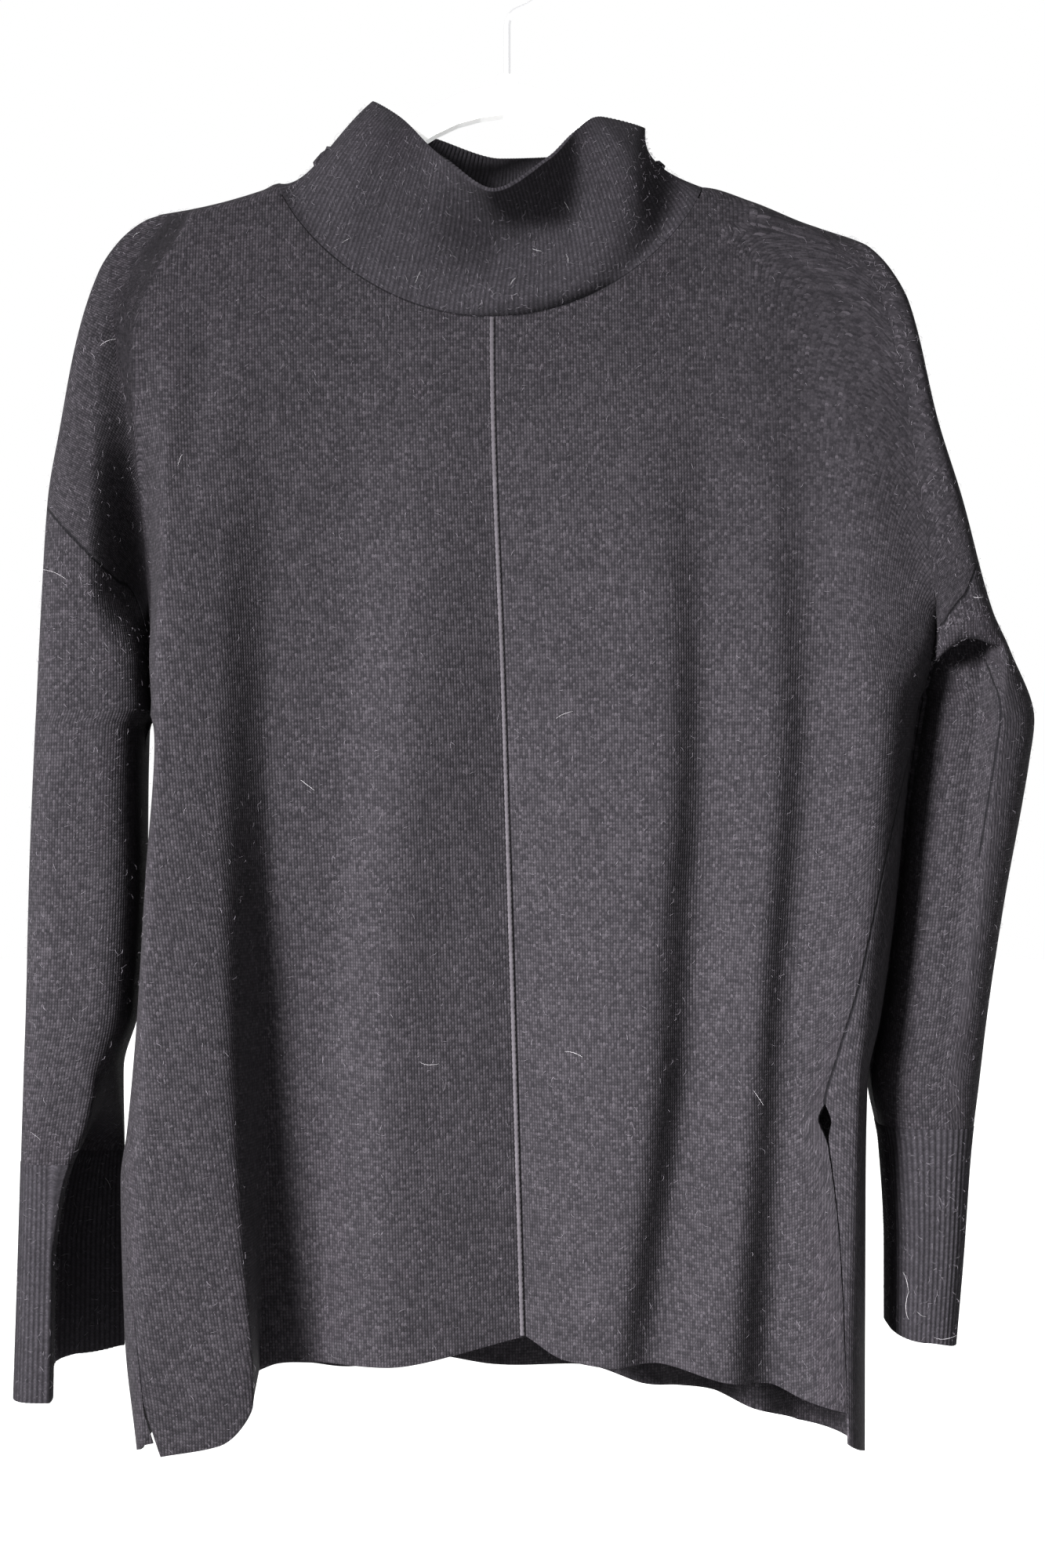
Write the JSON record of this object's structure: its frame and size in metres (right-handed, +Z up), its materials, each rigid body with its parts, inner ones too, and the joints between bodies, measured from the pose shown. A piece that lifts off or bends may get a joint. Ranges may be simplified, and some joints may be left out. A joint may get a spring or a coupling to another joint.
{
  "type": "mock neck sweater on a hanger",
  "caption": "Fine-knit charcoal mock neck sweater with drop-shoulder sleeves, rib cuffs, raised centre seam and split sides, on a plain white hanger.",
  "frame": {"origin": "inner top of the hook, where it rests on the rail", "axes": "+X to the viewer's right across the shoulders, +Y from the front to the back, +Z up"},
  "size_m": [0.5311, 0.1068, 0.8014],
  "materials": {
    "jersey": "fine jersey knit, brushed, slightly fuzzy",
    "rib": "fine 1x1 rib knit",
    "moulding": "smooth white moulding",
    "wire": "bright plated wire"
  },
  "bodies": {
    "root": {"front_left": "jersey", "front_right": "jersey", "back": "jersey", "sleeve_left": "jersey", "sleeve_right": "jersey", "cuff_left": "rib", "cuff_right": "rib", "collar": "rib", "hanger": "moulding", "hook": "wire"}
  },
  "joints": []
}
